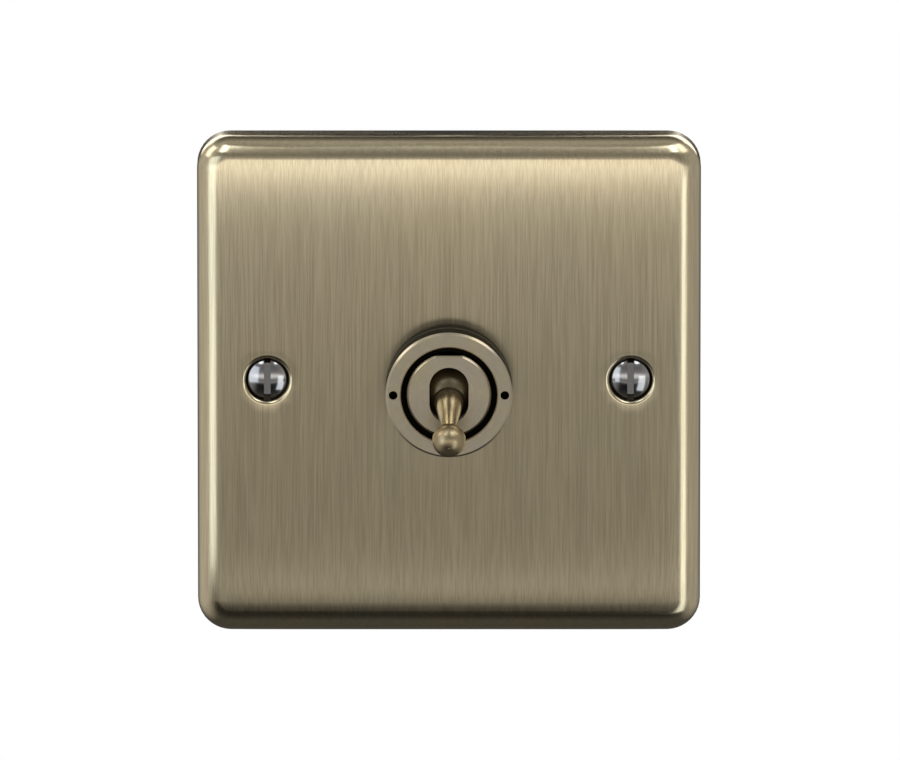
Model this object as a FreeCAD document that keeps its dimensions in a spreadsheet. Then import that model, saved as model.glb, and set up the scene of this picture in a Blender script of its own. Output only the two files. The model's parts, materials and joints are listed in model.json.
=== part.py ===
import FreeCAD, Part
import math
import os

import Sketcher

# A one-gang toggle wall switch on a square metal plate.
#
# The frame: +Z up, the front faces -Y and the wall is at y = 0, where the plate's rim rests.
# The origin is the middle of the rim plane, on the lever's centre line.
#
# Most sub-parts are drawn lying on their back, with their own z pointing out of the wall and
# their own y pointing up; the Placement of each one stands it up. The lever's own origin is its
# pivot, and the rocker's own origin is its knife edge. Levels are measured from the wall.

SIZES = {
    # front plate
    "plate_side": 83.6,
    "plate_corner": 5.5,
    "plate_height": 8.5,
    "plate_edge": 3.8,
    "plate_wall": 1.2,
    "liner_thickness": 0.6,
    "liner_inset": 4.2,
    # fixing screws and their dimples
    "screw_pitch": 60.3,
    "screw_rise": 1.2,
    "dimple_radius": 4.25,
    "dimple_lip": 0.75,
    "dimple_wall": 0.35,
    "dimple_back": 5.0,
    "seat_bore": 2.0,
    "head_radius": 3.25,
    "head_land": 0.2,
    "head_dome": 0.95,
    "screw_neck": 1.6,
    "thread_radius": 1.75,
    "thread_start": 2.5,
    "screw_length": 25.0,
    "screw_point": 0.6,
    "slot_width": 1.1,
    "slot_depth": 0.8,
    "washer_radius": 3.6,
    "washer_bore": 1.65,
    "washer_thickness": 0.6,
    # ring nut
    "ring_radius": 10.5,
    "ring_height": 7.4,
    "ring_chamfer": 0.35,
    "counterbore": 8.0,
    "counterbore_depth": 2.0,
    "spanner_hole": 0.72,
    "spanner_circle": 9.25,
    "spanner_depth": 2.0,
    # bush
    "bush_radius": 7.0,
    "bush_flat": 6.6,
    "bush_clearance": 0.2,
    "thread_clearance": 0.05,
    "flange_radius": 8.6,
    "flange_thickness": 1.2,
    "bush_slot_width": 6.5,
    "bush_slot_length": 9.3,
    "seat_radius": 4.7,
    "rear_bore": 5.0,
    "rear_flare": 5.9,
    "rear_flare_start": 4.5,
    # lever
    "pivot_depth": 4.8,
    "lever_tilt": 18.0,
    "pivot_ball": 4.6,
    "neck_radius": 2.62,
    "waist_radius": 1.0,
    "taper_bend": 110.0,
    "end_ball": 2.78,
    "end_ball_distance": 17.3,
    "sleeve_radius": 2.4,
    "sleeve_end": 9.5,
    "sleeve_bore": 1.35,
    "sleeve_bore_start": 1.6,
    "pin_radius": 1.0,
    "pin_clearance": 0.05,
    "pin_length": 13.0,
    # plunger and spring
    "plunger_radius": 1.3,
    "plunger_start": 5.0,
    "tip_distance": 11.7,
    "spring_radius": 1.2,
    "spring_wire": 0.35,
    "spring_gap": 0.05,
    # rocker, knife edge and contacts
    "hinge_depth": 14.7,
    "rocker_tilt": 9.0,
    "valley_centre": 7.69,
    "valley_radius": 6.11,
    "rocker_thickness": 0.85,
    "valley_half": 4.1,
    "wing_start": 5.0,
    "wing_end": 8.6,
    "wing_level": 1.95,
    "rocker_width": 5.0,
    "saddle_half": 1.3,
    "saddle_radius": 0.65,
    "knife_radius": 0.6,
    "knife_half": 0.45,
    "post_base": 2.0,
    "post_base_thickness": 0.8,
    "post_width": 4.4,
    "tip_offset": 7.4,
    "tip_height": 0.6,
    "tip_radius": 0.9,
    "contact_gap": 0.04,
    "fixed_tip_radius": 1.0,
    "fixed_tip_trim": 1.2,
    "strip_drop": 0.45,
    "strip_thickness": 0.8,
    "strip_inner": 6.3,
    "strip_outer": 10.9,
    "strip_width": 4.0,
    # terminals
    "terminal_spacing": 10.5,
    "terminal_top": 10.5,
    "terminal_length": 7.0,
    "terminal_half_width": 4.4,
    "terminal_half_height": 3.3,
    "wire_bore": 1.7,
    "wire_level": 13.0,
    "clamp_bore": 1.5,
    "clamp_radius": 1.45,
    "clamp_head": 2.4,
    "clamp_head_height": 1.6,
    "clamp_gap": 0.4,
    "clamp_reach": 2.9,
    # mouldings
    "case_width": 24.0,
    "case_height": 33.0,
    "case_corner": 2.0,
    "case_wall": 1.6,
    "case_split": 3.0,
    "case_back": 20.0,
    "cover_half_width": 9.2,
    "chamber_half_width": 8.0,
    "chamber_half_height": 13.0,
    "pocket_gap": 0.05,
    "driver_hole": 2.8,
    "wire_entry": 2.95,
    "rivet_radius": 0.9,
    "rivet_head": 1.6,
    "rivet_head_height": 0.6,
    "rivet_across": 10.4,
    "rivet_up": 14.7,
    # washers and nut behind the plate
    "nut_flats": 18.5,
    "nut_thickness": 2.2,
    "lock_thickness": 0.6,
    "lock_radius": 9.5,
    "lock_notch": 0.5,
    # earth terminal
    "earth_across": -22.0,
    "earth_up": -24.0,
    "earth_half": 3.5,
    "earth_back": 5.6,
    "earth_level": 0.2,
}

PINNED = 1e-9
EDGE_TOLERANCE = 1e-4
NUT_SIDES = 6
WASHER_NOTCHES = 16


class Size:
    """A length together with the spreadsheet expression that gives it."""

    def __init__(self, value, text):
        self.value = value
        self.text = text

    @staticmethod
    def of(other):
        if isinstance(other, Size):
            return other
        return Size(float(other), f"{float(other):.6f}")

    def joined(self, other, sign, value):
        return Size(value, f"({self.text} {sign} {Size.of(other).text})")

    def __add__(self, other):
        return self.joined(other, "+", self.value + Size.of(other).value)

    def __sub__(self, other):
        return self.joined(other, "-", self.value - Size.of(other).value)

    def __mul__(self, other):
        return self.joined(other, "*", self.value * Size.of(other).value)

    def __truediv__(self, other):
        return self.joined(other, "/", self.value / Size.of(other).value)

    def __neg__(self):
        return Size.of(0) - self

    def __radd__(self, other):
        return Size.of(other) + self

    def __rsub__(self, other):
        return Size.of(other) - self

    def __rmul__(self, other):
        return Size.of(other) * self


def root(length):
    return Size(math.sqrt(length.value), f"sqrt({length.text})")


def leg(hypotenuse, side):
    """The other short side of a right-angled triangle."""
    return root(hypotenuse * hypotenuse - side * side)


def sine(angle):
    return Size(math.sin(math.radians(angle.value)), f"sin({angle.text})")


def cosine(angle):
    return Size(math.cos(math.radians(angle.value)), f"cos({angle.text})")


class Sheet:
    """The driving dimensions, as attributes that are Size objects."""

    def __init__(self, document, values):
        table = document.addObject("Spreadsheet::Sheet", "Sizes")
        for row, (name, value) in enumerate(values.items(), start=1):
            table.set(f"A{row}", name.replace("_", " "))
            table.set(f"B{row}", str(value))
            table.setAlias(f"B{row}", name)
            setattr(self, name, Size(value, f"Sizes.{name}"))
        document.recompute()


doc = FreeCAD.newDocument("toggle_switch")
size = Sheet(doc, SIZES)

# Levels that several sub-parts share, measured out from the wall.
ring_front = size.plate_height + size.ring_height
pivot_level = ring_front - size.pivot_depth
hinge_level = pivot_level - size.hinge_depth
ceiling = size.plate_height - size.plate_wall
lock_front = ceiling - size.liner_thickness
nut_front = lock_front - size.lock_thickness
cover_front = nut_front - size.nut_thickness
cover_inside = cover_front - size.case_wall
terminal_back = size.terminal_top + size.terminal_length


# ---------------------------------------------------------------- drawing helpers


def new_body(name):
    body = doc.addObject("PartDesign::Body", name)
    body.Label = name
    return body


def new_sketch(body, plane_role, shift=0):
    """A sketch on one of the body's own planes, moved along that plane's normal."""
    plane = next(p for p in body.Origin.OriginFeatures if p.Role == plane_role)
    sketch = body.newObject("Sketcher::SketchObject", "Sketch")
    sketch.AttachmentSupport = (plane, [""])
    sketch.MapMode = "FlatFace"
    sketch.setExpression("AttachmentOffset.Base.z", Size.of(shift).text)
    return sketch


def pin(sketch, geometry, end, x, y):
    """Hold one point of a sketch where the sheet puts it."""
    for axis, kind, distance in ((-2, "DistanceX", Size.of(x)), (-1, "DistanceY", Size.of(y))):
        if abs(distance.value) < PINNED:
            sketch.addConstraint(Sketcher.Constraint("PointOnObject", geometry, end, axis))
            continue
        ends = (-1, 1, geometry, end) if distance.value > 0 else (geometry, end, -1, 1)
        length = distance if distance.value > 0 else -distance
        number = sketch.addConstraint(Sketcher.Constraint(kind, *ends, length.value))
        sketch.setExpression(f"Constraints[{number}]", length.text)


def hold_radius(sketch, geometry, radius):
    number = sketch.addConstraint(Sketcher.Constraint("Radius", geometry, radius.value))
    sketch.setExpression(f"Constraints[{number}]", radius.text)


def draw_circle(sketch, radius, x=0, y=0):
    centre = FreeCAD.Vector(Size.of(x).value, Size.of(y).value, 0)
    upward = FreeCAD.Vector(0, 0, 1)
    circle = sketch.addGeometry(Part.Circle(centre, upward, radius.value), False)
    pin(sketch, circle, 3, x, y)
    hold_radius(sketch, circle, radius)


def arc_between(start, end, bend):
    """The short arc of radius |bend| from start to end; its centre is on the left if bend > 0."""
    chord = end - start
    offset = math.sqrt(bend * bend - chord.Length * chord.Length / 4)
    left = FreeCAD.Vector(-chord.y, chord.x, 0).normalize()
    centre = (start + end) * 0.5 + left * math.copysign(offset, bend)
    first, last = (start, end) if bend > 0 else (end, start)
    begin_angle = math.atan2(first.y - centre.y, first.x - centre.x)
    end_angle = math.atan2(last.y - centre.y, last.x - centre.x)
    circle = Part.Circle(centre, FreeCAD.Vector(0, 0, 1), abs(bend))
    return Part.ArcOfCircle(circle, begin_angle, end_angle)


def draw_outline(sketch, corners):
    """A closed outline. A corner is (x, y), or (x, y, bend) where an arc leads to the next one."""
    points = [FreeCAD.Vector(Size.of(c[0]).value, Size.of(c[1]).value, 0) for c in corners]
    pieces = []
    for number, corner in enumerate(corners):
        start, end = points[number], points[(number + 1) % len(points)]
        if len(corner) == 2:
            geometry = sketch.addGeometry(Part.LineSegment(start, end), False)
            pieces.append((geometry, 1, 2))
            continue
        bend = corner[2]
        geometry = sketch.addGeometry(arc_between(start, end, bend.value), False)
        pieces.append((geometry, 1, 2) if bend.value > 0 else (geometry, 2, 1))
        hold_radius(sketch, geometry, bend if bend.value > 0 else -bend)
    for number, (geometry, first, last) in enumerate(pieces):
        pin(sketch, geometry, first, corners[number][0], corners[number][1])
        following = pieces[(number + 1) % len(pieces)]
        meeting = Sketcher.Constraint("Coincident", geometry, last, following[0], following[1])
        sketch.addConstraint(meeting)


def draw_rectangle(sketch, half_x, half_y, x=0, y=0):
    left, right, low, high = x - half_x, x + half_x, y - half_y, y + half_y
    draw_outline(sketch, [(left, low), (right, low), (right, high), (left, high)])


def draw_rounded_rectangle(sketch, half_x, half_y, corner):
    inner_x, inner_y = half_x - corner, half_y - corner
    draw_outline(
        sketch,
        [
            (-inner_x, -half_y),
            (inner_x, -half_y, corner),
            (half_x, -inner_y),
            (half_x, inner_y, corner),
            (inner_x, half_y),
            (-inner_x, half_y, corner),
            (-half_x, inner_y),
            (-half_x, -inner_y, corner),
        ],
    )


def draw_flatted_circle(sketch, radius, flat):
    """A circle cut by a level line above its middle: the outline of the bush and its holes."""
    corner = leg(radius, flat)
    right, bottom, left = (corner, flat), (Size.of(0), -radius), (-corner, flat)
    draw_outline(sketch, [(*left, radius), (*bottom, radius), right])


def draw_stadium(sketch, half_width, half_length):
    straight = half_length - half_width
    draw_outline(
        sketch,
        [
            (half_width, -straight),
            (half_width, straight, half_width),
            (0, half_length, half_width),
            (-half_width, straight),
            (-half_width, -straight, half_width),
            (0, -half_length, half_width),
        ],
    )


def add_feature(body, kind, sketch, **settings):
    """A feature from a sketch; it must add or take away material."""
    before = body.Shape.Volume if body.Tip else 0.0
    feature = body.newObject(kind, kind.split("::")[1])
    feature.Profile = sketch
    for name, value in settings.items():
        if isinstance(value, Size):
            feature.setExpression(name, value.text)
        else:
            setattr(feature, name, value)
    doc.recompute()
    if abs(body.Shape.Volume - before) < EDGE_TOLERANCE:
        raise RuntimeError(f"{body.Label}: {feature.Label} changes nothing")
    return feature


def pad(body, sketch, length, **settings):
    return add_feature(body, "PartDesign::Pad", sketch, Length=length, **settings)


def pocket(body, sketch, length, **settings):
    return add_feature(body, "PartDesign::Pocket", sketch, Length=length, **settings)


def drill(body, sketch):
    """Cut right through, both ways from the sketch."""
    return add_feature(body, "PartDesign::Pocket", sketch, Type="ThroughAll", SideType="Symmetric")


def revolve(body, sketch):
    axis = (sketch, ["V_Axis"])
    return add_feature(body, "PartDesign::Revolution", sketch, ReferenceAxis=axis, Angle=360.0)


def groove(body, sketch):
    axis = (sketch, ["V_Axis"])
    return add_feature(body, "PartDesign::Groove", sketch, ReferenceAxis=axis, Angle=360.0)


def edges_at_level(shape, level):
    """The names of the edges that lie wholly at one level."""
    names = []
    for number, edge in enumerate(shape.Edges, start=1):
        box = edge.BoundBox
        if max(abs(box.ZMin - level.value), abs(box.ZMax - level.value)) < EDGE_TOLERANCE:
            names.append(f"Edge{number}")
    return names


def dress(body, kind, base, names, property_name, amount):
    feature = body.newObject(kind, kind.split("::")[1])
    feature.Base = (base, names)
    feature.setExpression(property_name, amount.text)
    doc.recompute()
    return feature


def fillet(body, base, names, radius):
    return dress(body, "PartDesign::Fillet", base, names, "Radius", radius)


def chamfer(body, base, names, width):
    return dress(body, "PartDesign::Chamfer", base, names, "Size", width)


def place(item, level=0, tilt=0, x=0, up=0):
    """Stand a sub-part up: its own z comes to point at the room, at a level from the wall."""
    item.Placement.Rotation = FreeCAD.Rotation(FreeCAD.Vector(1, 0, 0), 90)
    item.setExpression("Placement.Base.x", Size.of(x).text)
    item.setExpression("Placement.Base.y", (-Size.of(level)).text)
    item.setExpression("Placement.Base.z", Size.of(up).text)
    item.setExpression("Placement.Rotation.Angle", (Size.of(tilt) + 90).text)
    return item


def gather(name, solids):
    """Several equal pieces as one sub-part."""
    group = doc.addObject("Part::Compound", name)
    group.Label = name
    group.Links = solids
    return group


# ---------------------------------------------------------------- plate and what fixes it


def make_front_plate():
    body = new_body("front_plate")
    half = size.plate_side / 2
    outside = new_sketch(body, "XY_Plane")
    draw_rounded_rectangle(outside, half, half, size.plate_corner)
    blank = pad(body, outside, size.plate_height)
    top = edges_at_level(blank.Shape, size.plate_height)
    fillet(body, blank, top, size.plate_edge)

    hollow = new_sketch(body, "XY_Plane")
    inner = half - size.plate_wall
    draw_rounded_rectangle(hollow, inner, inner, size.plate_corner - size.plate_wall)
    recess = pocket(body, hollow, ceiling, Reversed=True)
    inside = edges_at_level(recess.Shape, ceiling)
    fillet(body, recess, inside, size.plate_edge - size.plate_wall)

    bosses = new_sketch(body, "XY_Plane", size.dimple_back)
    for x in (-size.screw_pitch / 2, size.screw_pitch / 2):
        draw_circle(bosses, size.dimple_radius + size.dimple_wall, x, size.screw_rise)
    pad(body, bosses, size.plate_height - size.plate_wall / 2 - size.dimple_back)

    seat_start = size.dimple_radius - size.dimple_lip
    seat_top = size.plate_height - size.dimple_lip
    seat_foot = seat_top - (seat_start - size.seat_bore)
    for x in (-size.screw_pitch / 2, size.screw_pitch / 2):
        dimple = new_sketch(body, "XZ_Plane", -size.screw_rise)
        dimple.setExpression("AttachmentOffset.Base.x", x.text)
        draw_outline(
            dimple,
            [
                (0, 0),
                (size.seat_bore, 0),
                (size.seat_bore, seat_foot),
                (seat_start, seat_top, -size.dimple_lip),
                (size.dimple_radius, size.plate_height),
                (size.dimple_radius, size.plate_height + size.plate_wall),
                (0, size.plate_height + size.plate_wall),
            ],
        )
        groove(body, dimple)

    centre = new_sketch(body, "XY_Plane")
    clearance = size.bush_clearance
    draw_flatted_circle(centre, size.bush_radius + clearance, size.bush_flat + clearance)
    drill(body, centre)
    return place(body)


def make_insulating_liner():
    body = new_body("insulating_liner")
    half = size.plate_side / 2 - size.liner_inset
    outline = new_sketch(body, "XY_Plane", lock_front)
    draw_rounded_rectangle(outline, half, half, size.plate_edge)
    pad(body, outline, size.liner_thickness)
    windows = new_sketch(body, "XY_Plane")
    boss = size.dimple_radius + size.dimple_wall
    draw_circle(windows, size.bush_radius + size.bush_clearance)
    for x in (-size.screw_pitch / 2, size.screw_pitch / 2):
        draw_circle(windows, boss + size.bush_clearance, x, size.screw_rise)
    window = size.earth_half + size.bush_clearance
    draw_rectangle(windows, window, window, size.earth_across, size.earth_up)
    drill(body, windows)
    return place(body)


def make_fixing_screw(number, x):
    """A raised countersunk screw with a waist that its retaining washer keeps it by."""
    body = new_body(f"fixing_screw_{number}")
    rim = size.plate_height - size.dimple_radius + size.head_radius
    dome_top = rim + size.head_land + size.head_dome
    dome_bend = (size.head_radius * size.head_radius + size.head_dome * size.head_dome) / (
        size.head_dome * 2
    )
    tip = dome_top - size.screw_length
    step = size.thread_radius - size.screw_neck
    profile = new_sketch(body, "XZ_Plane")
    draw_outline(
        profile,
        [
            (0, tip),
            (size.thread_radius - size.screw_point, tip),
            (size.thread_radius, tip + size.screw_point),
            (size.thread_radius, size.thread_start - step),
            (size.screw_neck, size.thread_start),
            (size.screw_neck, rim - size.head_radius + size.screw_neck),
            (size.head_radius, rim),
            (size.head_radius, rim + size.head_land, dome_bend),
            (0, dome_top),
        ],
    )
    revolve(body, profile)
    slot = new_sketch(body, "XY_Plane", dome_top)
    draw_rectangle(slot, size.slot_width / 2, size.head_radius + size.head_land)
    pocket(body, slot, size.head_dome + size.slot_depth)
    return place(body, x=x, up=size.screw_rise)


def make_fixing_screws():
    places = (-size.screw_pitch / 2, size.screw_pitch / 2)
    return gather("fixing_screws", [make_fixing_screw(n, x) for n, x in enumerate(places)])


def make_retaining_washer(number, x):
    body = new_body(f"retaining_washer_{number}")
    ring = new_sketch(body, "XY_Plane", size.dimple_back - size.washer_thickness)
    draw_circle(ring, size.washer_radius)
    draw_circle(ring, size.washer_bore)
    pad(body, ring, size.washer_thickness)
    return place(body, x=x, up=size.screw_rise)


def make_screw_retaining_washers():
    places = (-size.screw_pitch / 2, size.screw_pitch / 2)
    washers = [make_retaining_washer(n, x) for n, x in enumerate(places)]
    return gather("screw_retaining_washers", washers)


# ---------------------------------------------------------------- bush and its nuts


def make_ring_nut():
    body = new_body("ring_nut")
    thread = size.bush_radius + size.thread_clearance
    floor = ring_front - size.counterbore_depth
    edge = size.ring_chamfer
    profile = new_sketch(body, "XZ_Plane")
    draw_outline(
        profile,
        [
            (thread, size.plate_height),
            (size.ring_radius, size.plate_height),
            (size.ring_radius, ring_front - edge),
            (size.ring_radius - edge, ring_front),
            (size.counterbore + edge / 2, ring_front),
            (size.counterbore, ring_front - edge / 2),
            (size.counterbore, floor),
            (thread, floor),
        ],
    )
    revolve(body, profile)
    holes = new_sketch(body, "XY_Plane", ring_front)
    for x in (-size.spanner_circle, size.spanner_circle):
        draw_circle(holes, size.spanner_hole, x)
    pocket(body, holes, size.spanner_depth)
    return place(body)


def make_bush():
    body = new_body("bush")
    flange_back = cover_inside - size.flange_thickness
    profile = new_sketch(body, "XZ_Plane")
    draw_outline(
        profile,
        [
            (size.rear_flare, flange_back),
            (size.flange_radius, flange_back),
            (size.flange_radius, cover_inside),
            (size.bush_radius, cover_inside),
            (size.bush_radius, ring_front),
            (0, ring_front),
            (0, pivot_level + size.seat_radius, -size.seat_radius),
            (size.seat_radius, pivot_level),
            (size.rear_bore, pivot_level - size.bush_clearance),
            (size.rear_bore, size.rear_flare_start),
        ],
    )
    revolve(body, profile)

    flat = new_sketch(body, "XY_Plane", cover_inside)
    far = size.flange_radius + size.bush_radius
    draw_rectangle(flat, size.bush_radius, (far - size.bush_flat) / 2, 0, (far + size.bush_flat) / 2)
    flatted = pocket(body, flat, ring_front - cover_inside, Reversed=True)
    rim = edges_at_level(flatted.Shape, ring_front)
    chamfer(body, flatted, rim, size.ring_chamfer)

    slot = new_sketch(body, "XY_Plane", ring_front)
    draw_stadium(slot, size.bush_slot_width / 2, size.bush_slot_length / 2)
    pocket(body, slot, size.pivot_depth)

    pin_hole = new_sketch(body, "YZ_Plane")
    draw_circle(pin_hole, size.pin_radius, 0, pivot_level)
    drill(body, pin_hole)
    return place(body)


def make_lock_washer():
    """A washer with notches round its inner edge."""
    body = new_body("lock_washer")
    bore = size.bush_radius + size.bush_clearance
    ring = new_sketch(body, "XY_Plane", nut_front)
    draw_circle(ring, size.lock_radius)
    draw_circle(ring, bore)
    pad(body, ring, size.lock_thickness)
    notch = new_sketch(body, "XY_Plane", lock_front)
    draw_rectangle(notch, size.lock_notch, size.lock_notch, bore, 0)
    cut = pocket(body, notch, size.lock_thickness)
    notches = body.newObject("PartDesign::PolarPattern", "Notches")
    notches.Originals = [cut]
    notches.Axis = (notch, ["N_Axis"])
    notches.Angle = 360
    notches.Occurrences = WASHER_NOTCHES
    body.Tip = notches
    doc.recompute()
    return place(body)


def make_back_nut():
    body = new_body("back_nut")
    radius = size.nut_flats / math.sqrt(3)
    corners = []
    for step in range(NUT_SIDES):
        angle = 2 * math.pi * step / NUT_SIDES
        corners.append((radius * math.cos(angle), radius * math.sin(angle)))
    hexagon = new_sketch(body, "XY_Plane", cover_front)
    draw_outline(hexagon, corners)
    pad(body, hexagon, size.nut_thickness)
    bore = new_sketch(body, "XY_Plane")
    draw_circle(bore, size.bush_radius + size.thread_clearance)
    drill(body, bore)
    return place(body)


# ---------------------------------------------------------------- lever, plunger and rocker


def make_toggle_lever():
    body = new_body("toggle_lever")
    neck = leg(size.pivot_ball, size.neck_radius)
    waist = size.end_ball_distance - leg(size.end_ball, size.waist_radius)
    sleeve = leg(size.pivot_ball, size.sleeve_radius)
    profile = new_sketch(body, "XZ_Plane")
    draw_outline(
        profile,
        [
            (0, -size.sleeve_bore_start),
            (size.sleeve_bore, -size.sleeve_bore_start),
            (size.sleeve_bore, -size.sleeve_end),
            (size.sleeve_radius, -size.sleeve_end),
            (size.sleeve_radius, -sleeve, size.pivot_ball),
            (size.neck_radius, neck, -size.taper_bend),
            (size.waist_radius, waist, size.end_ball),
            (0, size.end_ball_distance + size.end_ball),
        ],
    )
    revolve(body, profile)
    pin_hole = new_sketch(body, "YZ_Plane")
    draw_circle(pin_hole, size.pin_radius + size.pin_clearance)
    drill(body, pin_hole)
    return place(body, pivot_level, size.lever_tilt)


def make_pivot_pin():
    body = new_body("pivot_pin")
    end = new_sketch(body, "YZ_Plane")
    draw_circle(end, size.pin_radius)
    pad(body, end, size.pin_length, SideType="Symmetric")
    return place(body, pivot_level)


def make_plunger():
    body = new_body("plunger")
    profile = new_sketch(body, "XZ_Plane")
    draw_outline(
        profile,
        [
            (0, -size.plunger_start),
            (0, -size.tip_distance - size.plunger_radius, size.plunger_radius),
            (size.plunger_radius, -size.tip_distance),
            (size.plunger_radius, -size.plunger_start),
        ],
    )
    revolve(body, profile)
    return place(body, pivot_level, size.lever_tilt)


def make_plunger_spring():
    """The closed outer shape of the coil."""
    body = new_body("plunger_spring")
    start = size.plunger_start - size.spring_gap
    ring = new_sketch(body, "XY_Plane", -start)
    draw_circle(ring, size.spring_radius)
    draw_circle(ring, size.spring_radius - size.spring_wire)
    pad(body, ring, start - size.sleeve_bore_start - size.spring_gap)
    return place(body, pivot_level, size.lever_tilt)


def make_rocker():
    """A bowed strip with a valley for the plunger, a saddle on the knife edge and two wings."""
    body = new_body("rocker")
    under = size.valley_radius + size.rocker_thickness
    rise = size.valley_centre - leg(size.valley_radius, size.valley_half)
    wing_top = size.wing_level + size.rocker_thickness
    wing_root = leg(under, size.valley_centre - size.wing_level)
    saddle_top = size.valley_centre - leg(under, size.saddle_half)
    right = [
        (size.valley_half, rise),
        (size.wing_start, wing_top),
        (size.wing_end, wing_top),
        (size.wing_end, size.wing_level),
        (wing_root, size.wing_level, -under),
        (size.saddle_half, saddle_top),
        (size.saddle_half, 0),
        (size.saddle_radius, 0, size.saddle_radius),
        (0, size.saddle_radius, size.saddle_radius),
    ]
    left = [
        (-size.saddle_radius, 0),
        (-size.saddle_half, 0),
        (-size.saddle_half, saddle_top, -under),
        (-wing_root, size.wing_level),
        (-size.wing_end, size.wing_level),
        (-size.wing_end, wing_top),
        (-size.wing_start, wing_top),
        (-size.valley_half, rise, size.valley_radius),
    ]
    profile = new_sketch(body, "YZ_Plane")
    draw_outline(profile, right + left)
    pad(body, profile, size.rocker_width, SideType="Symmetric")
    return place(body, hinge_level, -size.rocker_tilt)


def make_moving_tip(number, side):
    body = new_body(f"moving_tip_{number}")
    disc = new_sketch(body, "XY_Plane", size.wing_level - size.tip_height)
    draw_circle(disc, size.tip_radius, 0, size.tip_offset * side)
    pad(body, disc, size.tip_height)
    return place(body, hinge_level, -size.rocker_tilt)


def make_moving_contact_tips():
    return gather("moving_contact_tips", [make_moving_tip(n, s) for n, s in enumerate((-1, 1))])


def make_fulcrum_post():
    """An upright blade with a round top edge, on a foot that stands on the common terminal."""
    body = new_body("fulcrum_post")
    foot = -(hinge_level + size.terminal_top)
    foot_top = foot + size.post_base_thickness
    shoulder = -leg(size.knife_radius, size.knife_half)
    profile = new_sketch(body, "YZ_Plane")
    draw_outline(
        profile,
        [
            (-size.post_base, foot),
            (size.post_base, foot),
            (size.post_base, foot_top),
            (size.knife_half, foot_top),
            (size.knife_half, shoulder, size.knife_radius),
            (0, size.knife_radius, size.knife_radius),
            (-size.knife_half, shoulder),
            (-size.knife_half, foot_top),
            (-size.post_base, foot_top),
        ],
    )
    pad(body, profile, size.post_width, SideType="Symmetric")
    return place(body, hinge_level)


def make_contact_strip(name, side):
    """A strip under one fixed contact, bent down to its terminal block."""
    body = new_body(name)
    top = hinge_level - size.strip_drop
    leg_inner = size.strip_outer - size.strip_thickness
    corners = [
        (size.strip_inner * side, top),
        (size.strip_inner * side, top - size.strip_thickness),
        (leg_inner * side, top - size.strip_thickness),
        (leg_inner * side, -size.terminal_top),
        (size.strip_outer * side, -size.terminal_top),
        (size.strip_outer * side, top),
    ]
    profile = new_sketch(body, "YZ_Plane")
    draw_outline(profile, corners)
    pad(body, profile, size.strip_width, SideType="Symmetric")
    return place(body)


def make_fixed_tip(number, side):
    """A round contact, trimmed so that it meets the moving one squarely at the end of its tilt."""
    body = new_body(f"fixed_tip_{number}")
    tip_level = size.wing_level - size.tip_height - size.contact_gap
    lean_across, lean_out = sine(size.rocker_tilt), cosine(size.rocker_tilt)
    across = size.tip_offset * lean_out + tip_level * lean_across
    level = hinge_level + tip_level * lean_out - size.tip_offset * lean_across
    strip_top = hinge_level - size.strip_drop
    spread = size.fixed_tip_trim
    drop = spread * lean_across / lean_out
    disc = new_sketch(body, "XY_Plane", strip_top)
    draw_circle(disc, size.fixed_tip_radius, 0, across * side)
    pad(body, disc, size.fixed_tip_radius)
    above = new_sketch(body, "YZ_Plane")
    corners = [
        ((across - spread) * side, level + drop),
        ((across + spread) * side, level - drop),
        ((across + spread) * side, level + spread),
        ((across - spread) * side, level + spread),
    ]
    draw_outline(above, corners)
    drill(body, above)
    return place(body)


def make_fixed_contact_tips():
    return gather("fixed_contact_tips", [make_fixed_tip(n, s) for n, s in enumerate((-1, 1))])


# ---------------------------------------------------------------- terminals


def make_terminal_block(name, step):
    body = new_body(name)
    y = size.terminal_spacing * step
    outline = new_sketch(body, "XY_Plane", -terminal_back)
    draw_rectangle(outline, size.terminal_half_width, size.terminal_half_height, 0, y)
    pad(body, outline, size.terminal_length)
    wire = new_sketch(body, "YZ_Plane")
    draw_circle(wire, size.wire_bore, y, -size.wire_level)
    drill(body, wire)
    clamp = new_sketch(body, "XY_Plane", -terminal_back)
    draw_circle(clamp, size.clamp_bore, 0, y)
    pocket(body, clamp, terminal_back - size.wire_level, Reversed=True)
    return place(body)


def make_clamp_screw(name, x, y, seat):
    """A short slotted screw let into a terminal from the back; it is backed off, clear of the bore."""
    body = new_body(name)
    head_front = seat - size.clamp_gap
    head_back = head_front - size.clamp_head_height
    profile = new_sketch(body, "XZ_Plane")
    draw_outline(
        profile,
        [
            (0, head_back),
            (size.clamp_head, head_back),
            (size.clamp_head, head_front),
            (size.clamp_radius, head_front),
            (size.clamp_radius, head_front + size.clamp_reach),
            (0, head_front + size.clamp_reach),
        ],
    )
    revolve(body, profile)
    slot = new_sketch(body, "XY_Plane", head_back)
    draw_rectangle(slot, size.slot_width / 2, size.clamp_head + size.clamp_gap)
    pocket(body, slot, size.clamp_head_height / 2, Reversed=True)
    return place(body, x=x, up=y)


def make_terminal_screws():
    screws = []
    for step in (-1, 0, 1):
        y = size.terminal_spacing * step
        screws.append(make_clamp_screw(f"terminal_screw_{step + 1}", 0, y, -terminal_back))
    return gather("terminal_screws", screws)


def make_earth_terminal():
    """A pillar on the back of the plate, with its wire bore beside the wall plane."""
    body = new_body("earth_terminal")
    outline = new_sketch(body, "XY_Plane", -size.earth_back)
    draw_rectangle(outline, size.earth_half, size.earth_half)
    pad(body, outline, ceiling + size.earth_back)
    wire = new_sketch(body, "YZ_Plane")
    draw_circle(wire, size.wire_bore, 0, size.earth_level)
    drill(body, wire)
    clamp = new_sketch(body, "XY_Plane", -size.earth_back)
    draw_circle(clamp, size.clamp_bore)
    pocket(body, clamp, size.earth_back, Reversed=True)
    return place(body, x=size.earth_across, up=size.earth_up)


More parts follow.
